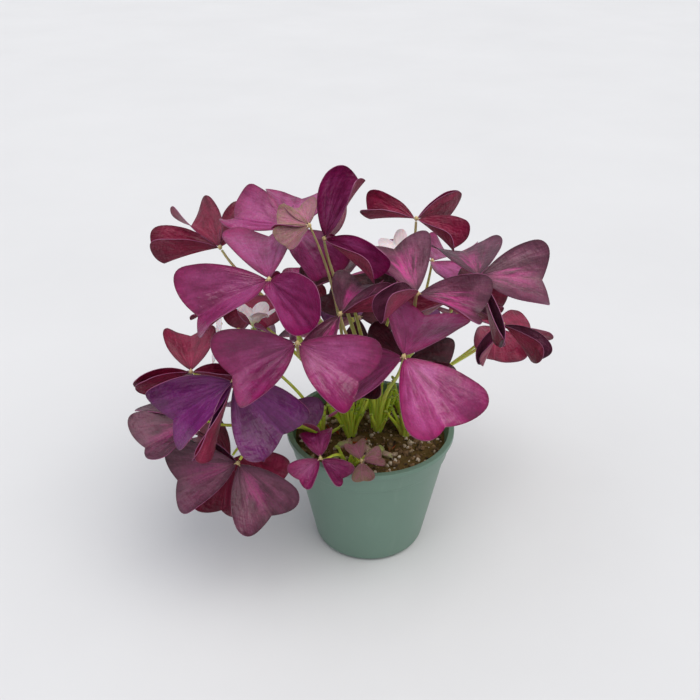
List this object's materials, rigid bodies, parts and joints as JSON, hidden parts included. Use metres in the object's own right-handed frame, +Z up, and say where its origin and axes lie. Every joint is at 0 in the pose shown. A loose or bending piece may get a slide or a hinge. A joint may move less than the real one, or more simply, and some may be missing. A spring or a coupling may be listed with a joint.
{
  "type": "potted purple shamrock",
  "caption": "Purple shamrock with triangular leaflets on thin stalks and pale flowers, growing in a tapered green plastic nursery pot.",
  "frame": {"origin": "centre of the pot's underside", "axes": "+Z up, -Y towards the side with the fullest leaves, +X to the right as seen from there"},
  "size_m": [0.2617, 0.2125, 0.2467],
  "materials": {
    "pot": "satin moulded plastic",
    "soil": "loose potting mix, matte",
    "stalk": "fresh green stalk, satin",
    "magenta": "leaf, soft satin",
    "violet": "leaf, soft satin",
    "dusk": "leaf, matte",
    "crimson": "shaded leaf, matte",
    "young": "young leaf, matte",
    "petal": "petal, matte"
  },
  "bodies": {
    "root": {"pot": "pot", "soil": "soil", "stalks_west": "stalk", "stalks_northwest": "stalk", "stalks_middle_left": "stalk", "stalks_middle": "stalk", "stalks_east": "stalk", "stalks_northeast": "stalk", "stalks_north": "stalk", "stalks_front": "stalk", "leaf_upper_left": "magenta", "leaf_front_middle": "magenta", "leaf_front_right": "magenta", "leaf_upper_right": "dusk", "leaf_far_right": "dusk", "leaf_low_right": "dusk", "leaf_inner_right": "crimson", "leaf_centre": "dusk", "leaf_top_young": "young", "leaf_top_left": "magenta", "leaf_top_middle": "magenta", "leaf_top_right": "crimson", "leaf_middle_shaded": "crimson", "leaf_back_left": "crimson", "leaf_left_shaded": "crimson", "leaf_far_left": "crimson", "leaf_left_front": "violet", "leaf_left_outer": "dusk", "leaf_left_low": "dusk", "leaf_left_lowest": "crimson", "leaf_left_inner": "violet", "leaf_rim_small": "magenta", "leaf_seedling": "young", "leaf_front_under": "crimson", "leaf_middle_deep": "crimson", "leaf_middle_back": "crimson", "leaf_rear_left": "crimson", "leaf_rear_middle": "magenta", "leaf_rear_right": "magenta", "leaf_rear_far_right": "crimson", "leaf_rear_low_middle": "violet", "leaf_rear_low_left": "dusk", "bloom_left_tall": "petal", "bloom_left_side": "petal", "bloom_right_tall": "petal"}
  },
  "joints": []
}
